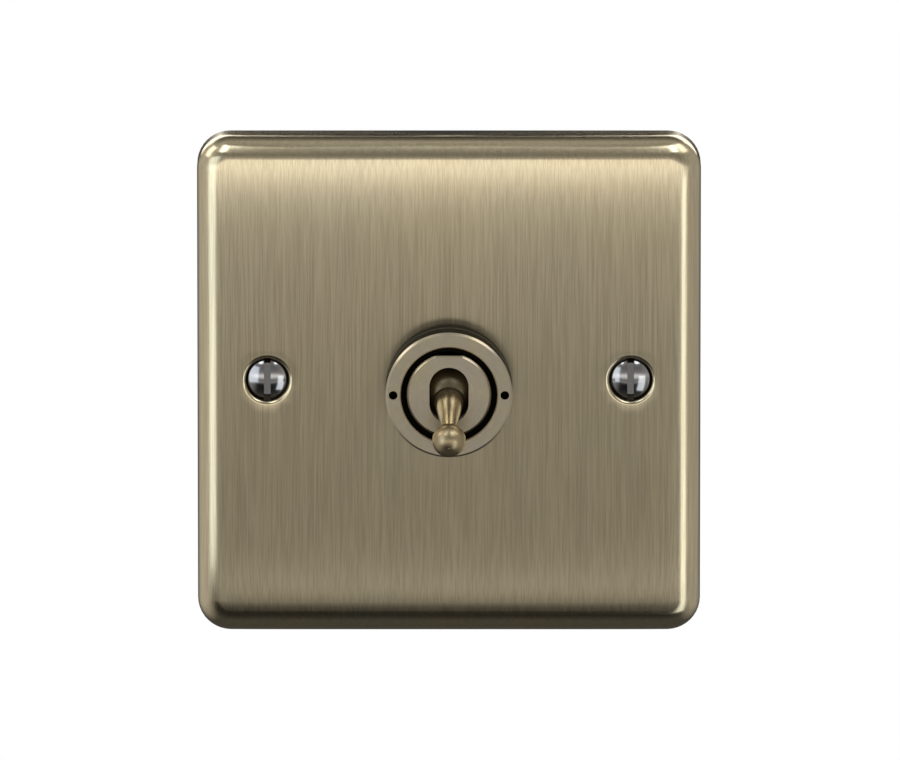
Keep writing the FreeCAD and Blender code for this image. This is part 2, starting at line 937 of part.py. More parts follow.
def make_earth_screw():
    return make_clamp_screw("earth_screw", size.earth_across, size.earth_up, -size.earth_back)


# ---------------------------------------------------------------- mouldings


def draw_rivet_holes(sketch):
    for across in (-size.rivet_across, size.rivet_across):
        for up in (-size.rivet_up, size.rivet_up):
            draw_circle(sketch, size.rivet_radius, across, up)


def make_switch_cover():
    body = new_body("switch_cover")
    outline = new_sketch(body, "XY_Plane", -size.case_split)
    draw_rounded_rectangle(outline, size.case_width / 2, size.case_height / 2, size.case_corner)
    pad(body, outline, cover_front + size.case_split)
    cavity = new_sketch(body, "XY_Plane", -size.case_split)
    draw_rectangle(cavity, size.cover_half_width, size.chamber_half_height)
    pocket(body, cavity, cover_inside + size.case_split, Reversed=True)
    centre = new_sketch(body, "XY_Plane")
    clearance = size.bush_clearance
    draw_flatted_circle(centre, size.bush_radius + clearance, size.bush_flat + clearance)
    drill(body, centre)
    holes = new_sketch(body, "XY_Plane")
    draw_rivet_holes(holes)
    drill(body, holes)
    return place(body)


def make_switch_body():
    body = new_body("switch_body")
    outline = new_sketch(body, "XY_Plane", -size.case_back)
    draw_rounded_rectangle(outline, size.case_width / 2, size.case_height / 2, size.case_corner)
    pad(body, outline, size.case_back - size.case_split)
    chamber = new_sketch(body, "XY_Plane", -size.case_split)
    draw_rectangle(chamber, size.chamber_half_width, size.chamber_half_height)
    pocket(body, chamber, size.terminal_top - size.case_split)

    rows = [size.terminal_spacing * step for step in (-1, 0, 1)]
    pockets = new_sketch(body, "XY_Plane", -size.terminal_top)
    for y in rows:
        half_x = size.terminal_half_width + size.pocket_gap
        half_y = size.terminal_half_height + size.pocket_gap
        draw_rectangle(pockets, half_x, half_y, 0, y)
    pocket(body, pockets, size.terminal_length)
    driver = new_sketch(body, "XY_Plane", -size.case_back)
    for y in rows:
        draw_circle(driver, size.driver_hole, 0, y)
    pocket(body, driver, size.case_back - terminal_back, Reversed=True)
    entries = new_sketch(body, "YZ_Plane")
    for y in rows:
        draw_circle(entries, size.wire_entry, y, -size.wire_level)
    pocket(body, entries, size.case_width, Reversed=True)
    holes = new_sketch(body, "XY_Plane")
    draw_rivet_holes(holes)
    drill(body, holes)
    return place(body)


def make_rivet(number, across, up):
    body = new_body(f"rivet_{number}")
    front, back = cover_front, -size.case_back
    profile = new_sketch(body, "XZ_Plane")
    draw_outline(
        profile,
        [
            (0, back - size.rivet_head_height),
            (size.rivet_radius, back - size.rivet_head_height),
            (size.rivet_head, back),
            (size.rivet_radius, back),
            (size.rivet_radius, front),
            (size.rivet_head, front),
            (size.rivet_radius, front + size.rivet_head_height),
            (0, front + size.rivet_head_height),
        ],
    )
    revolve(body, profile)
    return place(body, x=across, up=up)


def make_assembly_rivets():
    rivets = []
    for across in (-size.rivet_across, size.rivet_across):
        for up in (-size.rivet_up, size.rivet_up):
            rivets.append(make_rivet(len(rivets), across, up))
    return gather("assembly_rivets", rivets)


# ---------------------------------------------------------------- the whole switch


def make_switch():
    return [
        make_front_plate(),
        make_insulating_liner(),
        make_fixing_screws(),
        make_screw_retaining_washers(),
        make_ring_nut(),
        make_bush(),
        make_lock_washer(),
        make_back_nut(),
        make_toggle_lever(),
        make_pivot_pin(),
        make_plunger(),
        make_plunger_spring(),
        make_rocker(),
        make_moving_contact_tips(),
        make_fulcrum_post(),
        make_contact_strip("contact_strip_upper", 1),
        make_contact_strip("contact_strip_lower", -1),
        make_fixed_contact_tips(),
        make_terminal_block("terminal_block_common", 0),
        make_terminal_block("terminal_block_upper", 1),
        make_terminal_block("terminal_block_lower", -1),
        make_terminal_screws(),
        make_switch_cover(),
        make_switch_body(),
        make_assembly_rivets(),
        make_earth_terminal(),
        make_earth_screw(),
    ]


def check(sub_parts):
    for item in doc.Objects:
        if "Invalid" in item.State or "Error" in item.State:
            raise RuntimeError(f"{item.Label} failed: {item.State}")
    for part in sub_parts:
        if part.Shape.isNull() or not part.Shape.isValid():
            raise RuntimeError(f"{part.Label} has no valid shape")
        print(f"{part.Label}: {len(part.Shape.Solids)} solid, {part.Shape.Volume:.1f} mm3")


def export(sub_parts):
    os.makedirs("parts", exist_ok=True)
    for part in sub_parts:
        part.Shape.exportStep(f"parts/{part.Label}.step")


switch_parts = make_switch()
doc.recompute()
check(switch_parts)
export(switch_parts)
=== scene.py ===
import json
import math

import bmesh
import bpy
from mathutils import Matrix, Vector
from mathutils.geometry import delaunay_2d_cdt


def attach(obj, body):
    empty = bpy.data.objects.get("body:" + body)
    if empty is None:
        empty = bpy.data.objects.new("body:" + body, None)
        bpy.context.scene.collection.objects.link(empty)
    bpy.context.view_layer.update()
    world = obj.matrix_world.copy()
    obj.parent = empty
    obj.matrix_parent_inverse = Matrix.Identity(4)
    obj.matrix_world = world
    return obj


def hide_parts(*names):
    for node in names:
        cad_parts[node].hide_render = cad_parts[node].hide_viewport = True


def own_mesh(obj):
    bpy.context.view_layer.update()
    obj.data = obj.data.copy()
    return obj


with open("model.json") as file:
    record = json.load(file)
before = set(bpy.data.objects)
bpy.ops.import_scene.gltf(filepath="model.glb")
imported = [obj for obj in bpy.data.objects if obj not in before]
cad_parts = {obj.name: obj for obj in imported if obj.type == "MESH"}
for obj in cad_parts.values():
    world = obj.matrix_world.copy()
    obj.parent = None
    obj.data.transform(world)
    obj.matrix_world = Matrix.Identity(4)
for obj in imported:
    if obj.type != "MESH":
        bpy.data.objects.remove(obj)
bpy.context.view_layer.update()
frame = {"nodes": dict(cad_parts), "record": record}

# Sizes are in millimetres and angles in degrees, unless a function says metres. A level is a
# distance out from the plane of the wall.
MM = 0.001
PIVOT_LEVEL, LEVER_TILT = 11.1, 18.0
SCREWS = (-30.15, 30.15)
SCREW_RISE = 1.2
PLATE_HALF, PLATE_CORNER, PLATE_HEIGHT = 41.8, 5.5, 8.5
PLATE_EDGE, PLATE_WALL = 3.8, 1.2
CROWN_SLOPE, CROWN_REACH, BOW = 0.085, 4.5, 0.4


# ---------------------------------------------------------------- finishes


class Value:
    """What a node's socket gives. Arithmetic on it adds Math nodes."""

    def __init__(self, finish, socket):
        self.finish = finish
        self.socket = socket

    def __add__(self, other):
        return self.finish.maths("ADD", self, other)

    def __radd__(self, other):
        return self.finish.maths("ADD", other, self)

    def __sub__(self, other):
        return self.finish.maths("SUBTRACT", self, other)

    def __rsub__(self, other):
        return self.finish.maths("SUBTRACT", other, self)

    def __mul__(self, other):
        return self.finish.maths("MULTIPLY", self, other)

    def __rmul__(self, other):
        return self.finish.maths("MULTIPLY", other, self)

    def __truediv__(self, other):
        return self.finish.maths("DIVIDE", self, other)


class Finish:
    """The nodes of a material or of the world."""

    def __init__(self, owner):
        self.owner = owner
        owner.use_nodes = True
        self.nodes = owner.node_tree.nodes
        self.links = owner.node_tree.links
        self.nodes.clear()

    @classmethod
    def of_material(cls, name):
        return cls(bpy.data.materials.new(name))

    def node(self, kind, settings=None, inputs=None, output=0):
        """A new node. Its settings come first, and then the values or links of its sockets."""
        made = self.nodes.new(kind)
        for name, value in (settings or {}).items():
            if name == "stops":
                self.set_stops(made.color_ramp, value)
            else:
                setattr(made, name, value)
        for name, value in (inputs or {}).items():
            if isinstance(value, Value):
                self.links.new(value.socket, made.inputs[name])
            else:
                made.inputs[name].default_value = value
        return Value(self, made.outputs[output]) if made.outputs else None

    @staticmethod
    def set_stops(ramp, stops):
        """Grey stops on a ramp, each a position and a shade."""
        while len(ramp.elements) < len(stops):
            ramp.elements.new(1.0)
        for element, (position, shade) in zip(ramp.elements, stops):
            element.position = position
            element.color = (shade, shade, shade, 1.0)

    def maths(self, operation, *values, clamp=False):
        settings = {"operation": operation, "use_clamp": clamp}
        return self.node("ShaderNodeMath", settings, dict(enumerate(values)))

    def clamped(self, value):
        return self.maths("ADD", value, 0.0, clamp=True)

    def step(self, value, start, end):
        """0 up to start, 1 from end on, and straight between."""
        return self.clamped((value - start) / (end - start))

    def past(self, value, limit, blur):
        """0 below a limit and 1 above it, with a blurred change."""
        return self.step(value, limit - blur, limit + blur)

    def length(self, first, second):
        return self.maths("SQRT", first * first + second * second)

    def place(self):
        """Where a point lies in the switch at rest, in metres."""
        return self.node("ShaderNodeTexCoord", output="Object")

    def along(self, axis):
        return self.node("ShaderNodeSeparateXYZ", inputs={0: self.place()}, output=axis)

    def stretched(self, scale):
        inputs = {"Vector": self.place(), "Scale": scale}
        return self.node("ShaderNodeMapping", {"vector_type": "POINT"}, inputs)

    def noise(self, vector, detail, scale=1.0):
        inputs = {"Vector": vector, "Scale": scale, "Detail": detail, "Roughness": 0.55}
        return self.node("ShaderNodeTexNoise", {"noise_dimensions": "3D"}, inputs)

    def ramp(self, value, stops):
        return self.node("ShaderNodeValToRGB", {"stops": stops}, {"Fac": value})

    def blend(self, amount, first, second):
        settings = {"data_type": "RGBA", "blend_type": "MIX"}
        inputs = {0: amount, 6: first, 7: second}
        return self.node("ShaderNodeMix", settings, inputs, output=2)

    def bump(self, height, depth, strength):
        """A Bump node. Its depth is in metres."""
        inputs = {"Height": height, "Distance": depth, "Strength": strength}
        return self.node("ShaderNodeBump", inputs=inputs)

    def finished(self, **inputs):
        """The material, with its shader's sockets set by name."""
        named = {name.replace("_", " "): value for name, value in inputs.items()}
        shader = self.node("ShaderNodeBsdfPrincipled", inputs=named)
        self.node("ShaderNodeOutputMaterial", inputs={"Surface": shader})
        return self.owner


def shade(red, green, blue):
    return (red, green, blue, 1.0)


def darker(colour, share):
    return shade(*(channel * share for channel in colour))


def plate_brass():
    """Antique brass, brushed up and down, under a clear lacquer, with painted shade, near black,
    down in the dimples round the screw heads.
    """
    fine_strokes, broad_strokes = (5000, 5000, 80), (1500, 1500, 22)
    painted_shade_inside, painted_shade_outside = 3.55 * MM, 3.8 * MM
    finish = Finish.of_material("brushed_antique_brass")
    fine = finish.noise(finish.stretched(fine_strokes), detail=3)
    broad = finish.noise(finish.stretched(broad_strokes), detail=2)
    patina = finish.noise(finish.place(), scale=45, detail=2)
    grain = fine * 0.7 + broad * 0.3
    aged = finish.blend(patina, shade(0.60, 0.49, 0.305), shade(0.565, 0.49, 0.33))
    worn = finish.blend(patina, shade(0.50, 0.405, 0.25), shade(0.47, 0.405, 0.27))
    brushed = finish.blend(finish.step(grain, 0.40, 0.60), worn, aged)
    across = finish.maths("ABSOLUTE", finish.along("X")) - SCREWS[1] * MM
    up = finish.along("Z") - SCREW_RISE * MM
    # painted shade: near black in the gap round each screw head, down in its dimple
    clear_of_painted_shade = finish.step(finish.length(across, up), painted_shade_inside, painted_shade_outside)
    return finish.finished(
        Base_Color=finish.blend(clear_of_painted_shade, shade(0.05, 0.04, 0.025), brushed),
        Metallic=1.0,
        Roughness=0.16 + grain * 0.06,
        Anisotropic=0.7,
        Coat_Weight=0.25,
        Coat_Roughness=0.08,
        Normal=finish.bump(grain, 0.000005, 0.35),
    )


def turned_brass(name, warm, cool, inner_radius=0.0):
    """Brass turned in a lathe: brushed on its front, painted near black on its sides as a painted
    dark reflection, with a pale line round them that is a painted reflection, and bare on the
    sides of a slot within the inner radius."""
    side_level, line_back, line_front = 15.5 * MM, 11.0 * MM, 11.3 * MM
    side_blur, line_blur, inner_blur = 0.03 * MM, 0.05 * MM, 0.1 * MM
    finish = Finish.of_material(name)
    radius = finish.length(finish.along("X"), finish.along("Z"))
    ringed = finish.node("ShaderNodeCombineXYZ", inputs={"X": radius * 4500})
    rings = finish.noise(ringed, detail=4)
    marks = finish.noise(finish.place(), scale=900, detail=4)
    stain = finish.step(finish.noise(finish.place(), scale=230, detail=2), 0.35, 0.65)
    face = finish.blend(stain, shade(*warm), shade(*cool))
    worn = finish.blend(rings * 0.5 + marks * 0.5, shade(0.34, 0.29, 0.20), face)
    depth = finish.along("Y")
    side = finish.past(depth, -side_level, side_blur)
    # painted reflection: a pale line round the sides, standing for the plate's bright face
    # reflected in them
    line = finish.past(depth, -line_front, line_blur)
    line = line * (1 - finish.past(depth, -line_back, line_blur))
    inner = 1 - finish.past(radius, inner_radius, inner_blur)
    # painted dark reflection: the sides are painted near black where they would reflect dark
    # surroundings
    painted_dark_reflection = finish.blend(marks, shade(0.003, 0.003, 0.002), shade(0.012, 0.010, 0.008))
    with_painted_reflection_line = finish.blend(line * 0.6, painted_dark_reflection, shade(0.40, 0.36, 0.28))
    edge = finish.blend(inner, with_painted_reflection_line, shade(0.42, 0.34, 0.22))
    return finish.finished(
        Base_Color=finish.blend(side, worn, edge),
        Metallic=1.0,
        Roughness=(0.24 + rings * 0.08) * (1 - side) + (0.62 + marks * 0.1) * side,
        Coat_Weight=0.2 * (1 - side),
        Coat_Roughness=0.08,
        Normal=finish.bump(rings, 0.000006, 0.3),
    )


def lever_brass():
    """Antique brass, dark on the pivot ball, and painted brighter along the stem as a painted
    highlight.
    """
    stem_start, stem_full = 4.3 * MM, 5.0 * MM
    ball_start, ball_full = 14.6 * MM, 15.2 * MM
    finish = Finish.of_material("lever_antique_brass")
    tilt = math.radians(LEVER_TILT)
    out = (0 - finish.along("Y") - PIVOT_LEVEL * MM) * math.cos(tilt)
    out = out - finish.along("Z") * math.sin(tilt)
    marks = finish.noise(finish.place(), scale=1300, detail=5)
    clouds = finish.noise(finish.place(), scale=260, detail=2)
    # painted highlight: the stem is painted brighter than the ball, standing for the highlight
    # streaks along it
    stem = finish.blend(clouds, shade(0.58, 0.48, 0.31), shade(0.68, 0.57, 0.385))
    ball = finish.blend(clouds, shade(0.31, 0.240, 0.135), shade(0.37, 0.290, 0.170))
    dome = finish.blend(clouds, shade(0.10, 0.080, 0.047), shade(0.15, 0.122, 0.073))
    on_stem = finish.step(out, stem_start, stem_full)
    on_ball = finish.step(out, ball_start, ball_full)
    return finish.finished(
        Base_Color=finish.blend(on_ball, finish.blend(on_stem, dome, stem), ball),
        Metallic=1.0,
        Roughness=0.42 - on_stem * 0.20 + on_ball * 0.13 + (marks - 0.5) * 0.12,
        Normal=finish.bump(marks, 0.00001, 0.3),
    )


def worked_metal(name, colour, roughness, scale=1500, depth=0.00001):
    """Plain metal with fine handling marks."""
    finish = Finish.of_material(name)
    marks = finish.noise(finish.place(), scale=scale, detail=5)
    clouds = finish.noise(finish.place(), scale=scale / 8, detail=2)
    return finish.finished(
        Base_Color=finish.blend(clouds, darker(colour, 0.85), shade(*colour)),
        Metallic=1.0,
        Roughness=roughness + (marks - 0.5) * roughness * 0.6,
        Normal=finish.bump(marks, depth, 0.3),
    )


def moulded(name, colour, roughness, grain=2500, glow=0.0):
    """Moulded plastic with a slightly uneven skin."""
    finish = Finish.of_material(name)
    skin = finish.noise(finish.place(), scale=grain, detail=2)
    clouds = finish.noise(finish.place(), scale=120, detail=2)
    return finish.finished(
        Base_Color=finish.blend(clouds, darker(colour, 0.93), shade(*colour)),
        Roughness=roughness + (skin - 0.5) * 0.12,
        Emission_Color=shade(1, 1, 1),
        Emission_Strength=glow,
        Normal=finish.bump(skin, 0.00002, 0.4),
    )


FINISHES = {
    "plate_brass": plate_brass(),
    "ring_brass": turned_brass("turned_ring_brass", (0.56, 0.48, 0.31), (0.50, 0.43, 0.35)),
    "bush_brass": turned_brass(
        "turned_bush_brass", (0.57, 0.49, 0.32), (0.53, 0.45, 0.36), inner_radius=5.6 * MM
    ),
    "lever_brass": lever_brass(),
    "screw_nickel": worked_metal("dark_nickel", (0.36, 0.345, 0.33), 0.14),
    "zinc_steel": worked_metal("zinc_plate", (0.62, 0.62, 0.60), 0.30),
    "spring_steel": worked_metal("spring_wire", (0.55, 0.55, 0.56), 0.25),
    "terminal_brass": worked_metal("machined_brass", (0.80, 0.62, 0.30), 0.28, 3000, 0.000004),
    "contact_silver": worked_metal("contact_silver_alloy", (0.88, 0.87, 0.84), 0.22),
    "moulding": moulded("white_moulding", (0.80, 0.80, 0.77), 0.42),
    "liner_sheet": moulded("black_liner", (0.025, 0.025, 0.025), 0.55, 1200),
    "washer_nylon": moulded("natural_nylon", (0.75, 0.73, 0.66), 0.38),
}


def apply_finishes():
    """Give every node of the frame the finish of its own slot."""
    slot_of = {row["node"]: row["material_slot"] for row in frame["record"]["subparts"]}
    for name, item in frame["nodes"].items():
        item.data.materials.clear()
        item.data.materials.append(FINISHES[slot_of[name]])


# ---------------------------------------------------------------- mesh making
#
# A draft lies on its back, in millimetres: x across, y up the wall, z out of the wall.


def circle(radius, sides, x=0.0, y=0.0):
    turns = [2 * math.pi * k / sides for k in range(sides)]
    return [(x + radius * math.cos(a), y + radius * math.sin(a)) for a in turns]


def flatted_circle(radius, flat, sides):
    """A circle cut by a level line above its middle."""
    end = math.asin(flat / radius)
    sweep = 2 * math.pi - (math.pi - 2 * end)
    start = math.pi - end
    angles = [start + sweep * k / sides for k in range(sides + 1)]
    return [(radius * math.cos(a), radius * math.sin(a)) for a in angles]


def rounded_square(half, corner):
    side_steps, corner_steps = 24, 10
    points = []
    inner = half - corner
    for quarter, (side_x, side_y) in enumerate([(1, 1), (-1, 1), (-1, -1), (1, -1)]):
        turn = quarter * math.pi / 2
        for k in range(corner_steps + 1):
            a = turn + math.pi / 2 * k / corner_steps
            x, y = corner * math.cos(a), corner * math.sin(a)
            points.append((side_x * inner + x, side_y * inner + y))
        start = Vector(points[-1])
        along = Vector((-math.sin(turn + math.pi / 2), math.cos(turn + math.pi / 2)))
        for k in range(1, side_steps):
            points.append(tuple(start + along * (2 * inner * k / side_steps)))
    return points


def is_inside(x, y, loop):
    """Whether a point is inside a loop: a line from it crosses the loop an odd number of times."""
    inside = False
    for (ax, ay), (bx, by) in zip(loop, loop[1:] + loop[:1]):
        if (ay > y) != (by > y) and x < (bx - ax) * (y - ay) / (by - ay) + ax:
            inside = not inside
    return inside


def arc(centre, radius, start, end, steps):
    """Points on an arc in a profile, from one angle to another, in degrees."""
    angles = [math.radians(start + (end - start) * k / steps) for k in range(steps + 1)]
    return [(centre[0] + radius * math.cos(a), centre[1] + radius * math.sin(a)) for a in angles]


def grown(loop, share):
    """A loop made larger or smaller about its own middle."""
    middle = sum((Vector(point) for point in loop), Vector((0, 0))) / len(loop)
    return [tuple(middle + (Vector(point) - middle) * share) for point in loop]


class Draft:
    """A mesh on the bench."""

    def __init__(self):
        self.mesh = bmesh.new()

    def loop(self, points, level):
        return [self.mesh.verts.new((x, y, level)) for x, y in points]

    def skin(self, first, second):
        """Faces between two closed loops of equal length."""
        count = len(first)
        for k in range(count):
            after = (k + 1) % count
            self.mesh.faces.new((first[k], first[after], second[after], second[k]))

    def skins(self, loops):
        for first, second in zip(loops, loops[1:]):
            self.skin(first, second)

    def cone(self, loop, level, x):
        """Faces from a closed loop to a point."""
        point = self.mesh.verts.new((x, 0, level))
        for k, vertex in enumerate(loop):
            self.mesh.faces.new((vertex, loop[(k + 1) % len(loop)], point))

    def lathe(self, profile, sides, x, y):
        """A surface of revolution, open at both ends."""
        self.skins([self.loop(circle(radius, sides, x, y), level) for radius, level in profile])

    def sheet(self, outline, holes, level, spacing):
        """A flat face with holes in it, and with points inside it so that it can bend."""
        loops = [outline, *holes]
        points, edges = [], []
        for loop in loops:
            first, count = len(points), len(loop)
            edges += [(first + k, first + (k + 1) % count) for k in range(count)]
            points += loop
        points += self.filling(outline, holes, spacing)
        places = [Vector(point) for point in points]
        flat, _, faces, *_ = delaunay_2d_cdt(places, edges, [], 0, 1e-6)
        corners = [self.mesh.verts.new((place.x, place.y, level)) for place in flat]
        for face in faces:
            middle = sum((flat[k] for k in face), Vector((0, 0))) / len(face)
            if is_inside(*middle, outline) and not any(is_inside(*middle, hole) for hole in holes):
                self.mesh.faces.new([corners[k] for k in face])

    @staticmethod
    def filling(outline, holes, spacing):
        """Evenly spaced points inside an outline, clear of it and of its holes."""
        reach = max(x for x, _ in outline)
        count = int(reach / spacing)
        steps = [reach * k / count for k in range(-count + 1, count)]
        limit = [(x * 0.985, y * 0.985) for x, y in outline]
        kept_out = [grown(hole, 1.12) for hole in holes]
        return [
            (x, y)
            for x in steps
            for y in steps
            if is_inside(x, y, limit) and not any(is_inside(x, y, hole) for hole in kept_out)
        ]

    def cut(self, other):
        """Take the solid of another draft out of this one."""
        blanks = []
        for mesh in (self.mesh, other.mesh):
            bmesh.ops.remove_doubles(mesh, verts=mesh.verts, dist=1e-5)
            bmesh.ops.recalc_face_normals(mesh, faces=mesh.faces)
            data = bpy.data.meshes.new("blank")
            mesh.to_mesh(data)
            mesh.free()
            blanks.append(bpy.data.objects.new("blank", data))
            bpy.context.scene.collection.objects.link(blanks[-1])
        change = blanks[0].modifiers.new("cut", "BOOLEAN")
        change.operation, change.solver, change.object = "DIFFERENCE", "EXACT", blanks[1]
        seen = blanks[0].evaluated_get(bpy.context.evaluated_depsgraph_get())
        self.mesh = bmesh.new()
        self.mesh.from_mesh(seen.to_mesh())
        for blank in blanks:
            bpy.data.objects.remove(blank)

    def stood_up(self, tilt=0.0, level=0.0):
        """Stand the draft up against the wall, in metres."""
        place = Matrix.Translation((0, -level * MM, 0))
        turn = Matrix.Rotation(math.radians(90 + tilt), 4, "X")
        self.mesh.transform(place @ turn @ Matrix.Scale(MM, 4))

    def made(self, name, body, slot, node, crease=30.0):
        """The finished piece, in place of the node that it stands for."""
        mesh = self.mesh
        bmesh.ops.remove_doubles(mesh, verts=mesh.verts, dist=1e-7)
        bmesh.ops.recalc_face_normals(mesh, faces=mesh.faces)
        for face in mesh.faces:
            face.smooth = True
        for edge in mesh.edges:
            edge.smooth = edge.is_manifold and edge.calc_face_angle(0.0) < math.radians(crease)
        data = bpy.data.meshes.new(name)
        mesh.to_mesh(data)
        mesh.free()
        data.materials.append(FINISHES[slot])
        piece = bpy.data.objects.new(name, data)
        bpy.context.scene.collection.objects.link(piece)
        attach(piece, body)
        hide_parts(node)
        return piece


# ---------------------------------------------------------------- pieces


def crowning(distance):
    """How far the face has fallen at some distance from where its edge starts to round."""
    if distance < 0:
        return CROWN_SLOPE * (CROWN_REACH - distance)
    return CROWN_SLOPE * CROWN_REACH * math.exp(-distance / CROWN_REACH)


def crown(mesh):
    """Draw the edges of the face down a little, and bow it, as pressing leaves it."""
    flat_half = PLATE_HALF - PLATE_EDGE
    for vertex in mesh.verts:
        fall = crowning(flat_half - abs(vertex.co.x)) + crowning(flat_half - abs(vertex.co.y))
        fall += BOW * (vertex.co.y / flat_half) ** 2
        vertex.co.z -= fall * vertex.co.z / PLATE_HEIGHT


def edge_loops(draft, half, corner, top, radius, steps):
    """Loops from the rim up the side and over its rounded edge."""
    straight = top - radius
    wall = [(0, straight * quarters / 4) for quarters in range(4)]
    bend = arc((radius, straight), radius, 180, 90, steps)
    return [
        draft.loop(rounded_square(half - inset, corner - inset), level)
        for inset, level in wall + bend
    ]


def make_front_plate():
    """The pressed plate, with a hollow back."""
    draft = Draft()
    sides = 72
    ceiling = PLATE_HEIGHT - PLATE_WALL
    boss_back, boss, lip, mouth, bore = 5.0, 4.6, 0.75, 4.25, 2.0
    centre_radius, centre_flat = 7.2, 6.8
    face_spacing, back_spacing = 1.5, 3.0

    outside = edge_loops(draft, PLATE_HALF, PLATE_CORNER, PLATE_HEIGHT, PLATE_EDGE, 14)
    inner_half, inner_corner = PLATE_HALF - PLATE_WALL, PLATE_CORNER - PLATE_WALL
    inside = edge_loops(draft, inner_half, inner_corner, ceiling, PLATE_EDGE - PLATE_WALL, 8)
    draft.skins(outside)
    draft.skins(inside)
    draft.skin(outside[0], inside[0])

    face = rounded_square(PLATE_HALF - PLATE_EDGE, PLATE_CORNER - PLATE_EDGE)
    centre = flatted_circle(centre_radius, centre_flat, 90)
    mouths = [circle(mouth, sides, x, SCREW_RISE) for x in SCREWS]
    bosses = [circle(boss, sides, x, SCREW_RISE) for x in SCREWS]
    draft.sheet(face, [centre, *mouths], PLATE_HEIGHT, face_spacing)
    draft.sheet(face, [centre, *bosses], ceiling, back_spacing)
    draft.skin(draft.loop(centre, PLATE_HEIGHT), draft.loop(centre, ceiling))

    seat = mouth - lip
    dimple = arc((mouth, PLATE_HEIGHT - lip), lip, 90, 180, 8)
    dimple.append((bore, PLATE_HEIGHT - lip - (seat - bore)))
    dimple += [(bore, boss_back), (boss, boss_back), (boss, ceiling)]
    for x in SCREWS:
        draft.lathe(dimple, sides, x, SCREW_RISE)
    crown(draft.mesh)
    draft.stood_up()
    return draft.made("pressed_plate", "switch_frame", "plate_brass", "front_plate")


def thread(start, end, crest, root, pitch, sides):
    """Outlines down a threaded shank, with one ridge winding round it that fades at both ends."""
    steps = 6
    outlines = []
    for k in range(int((start - end) / pitch * steps) + 1):
        level = start - k * pitch / steps
        height = (crest - root) * min(1.0, (start - level) / pitch, (level - end) / pitch)
        points = []
        for side in range(sides):
            a = 2 * math.pi * side / sides
            ridge = abs((level / pitch - side / sides) % 1.0 * 2 - 1)
            radius = root + height * ridge
            points.append((radius * math.cos(a), radius * math.sin(a)))
        outlines.append((points, level))
    return outlines


def make_fixing_screws():
    """Raised countersunk screws: a slotted dome, a smooth waist and a cut thread."""
    head, rim, land, dome_top, neck = 3.25, 7.5, 0.2, 8.65, 1.6
    thread_start, tip, crest, root, pitch = 2.5, -16.35, 1.75, 1.45, 0.7
    neck_end = thread_start + 0.15
    slot_half, slot_reach, slot_floor, slot_top = 0.55, 4, 6.9, dome_top + 1
    sides = 64

    rise = dome_top - rim - land
    bend = (head**2 + rise**2) / (2 * rise)
    dome = arc((0, dome_top - bend), bend, 90, math.degrees(math.acos(head / bend)), 12)[1:]
    outline = [*dome, (head, rim), (neck, rim - head + neck), (neck, neck_end)]
    shank = thread(thread_start, tip, crest, root, pitch, sides)
    draft = Draft()
    for x in SCREWS:
        loops = [draft.loop(circle(radius, sides, x), level) for radius, level in outline]
        loops += [draft.loop([(x + u, v) for u, v in points], level) for points, level in shank]
        draft.cone(loops[0], dome_top, x)
        draft.skins(loops)
        draft.cone(loops[-1], tip, x)
    slots = Draft()
    for x in SCREWS:
        ends = [(slot_half, slot_reach), (-slot_half, slot_reach)]
        ends += [(-slot_half, -slot_reach), (slot_half, -slot_reach)]
        corners = [(x + across, up) for across, up in ends]
        walls = [slots.loop(corners, slot_floor), slots.loop(corners, slot_top)]
        slots.skins(walls)
        for wall in walls:
            slots.mesh.faces.new(wall)
    draft.cut(slots)
    bmesh.ops.translate(draft.mesh, verts=draft.mesh.verts, vec=(0, SCREW_RISE, 0))
    draft.stood_up()
    draft.made("slotted_screws", "switch_frame", "screw_nickel", "fixing_screws")


def make_plunger_spring():
    """A coil of round wire with closed ends. Its levels are measured out along the lever from the
    pivot."""
    wire, radius, top, bottom, turns = 0.175, 1.025, -1.83, -4.77, 7
    steps, sides = 28, 10
    draft = Draft()
    rings = []
    for k in range(turns * steps + 1):
        a = 2 * math.pi * k / steps
        share = k / (turns * steps)
        whole = 2 * math.pi * share
        eased = share + math.sin(2 * whole) * 0.02 - math.sin(whole) * 0.05
        level = top + (bottom - top) * eased
        ring = []
        for out, up in circle(wire, sides):
            place = ((radius + out) * math.cos(a), (radius + out) * math.sin(a), level + up)
            ring.append(draft.mesh.verts.new(place))
        rings.append(ring)
    draft.skins(rings)
    for ring in (rings[0], rings[-1]):
        draft.mesh.faces.new(ring)
    draft.stood_up(LEVER_TILT, level=PIVOT_LEVEL)
    coil = draft.made("coil_spring", "lever", "spring_steel", "plunger_spring", crease=50.0)
    tilt = math.radians(LEVER_TILT)
    out = Vector((0, -math.cos(tilt), -math.sin(tilt)))
    end = (Vector((0, -PIVOT_LEVEL, 0)) + out * (top + wire)) * MM
    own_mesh(coil)


apply_finishes()
make_front_plate()
make_fixing_screws()
make_plunger_spring()


# ---------------------------------------------------------------- studio


def away(azimuth, elevation):
    """A direction from the switch. Azimuth 0 is straight in front, positive to the right."""
    a, e = math.radians(azimuth), math.radians(elevation)
    return Vector((math.sin(a) * math.cos(e), -math.cos(a) * math.cos(e), math.sin(e)))


def make_floor():
    """A pale floor, left out of reflections. Its half and level are in metres."""
    half, level = 0.85, -0.30
    ends = [(-half, -half), (half, -half), (half, half), (-half, half)]
    corners = [(x, y, level) for x, y in ends]
    data = bpy.data.meshes.new("floor")
    data.from_pydata(corners, [], [(0, 1, 2, 3)])
    floor = bpy.data.objects.new("floor", data)
    bpy.context.scene.collection.objects.link(floor)
    data.materials.append(moulded("pale_floor", (0.9, 0.9, 0.9), 0.6, grain=40, glow=0.35))
    floor.visible_glossy = False


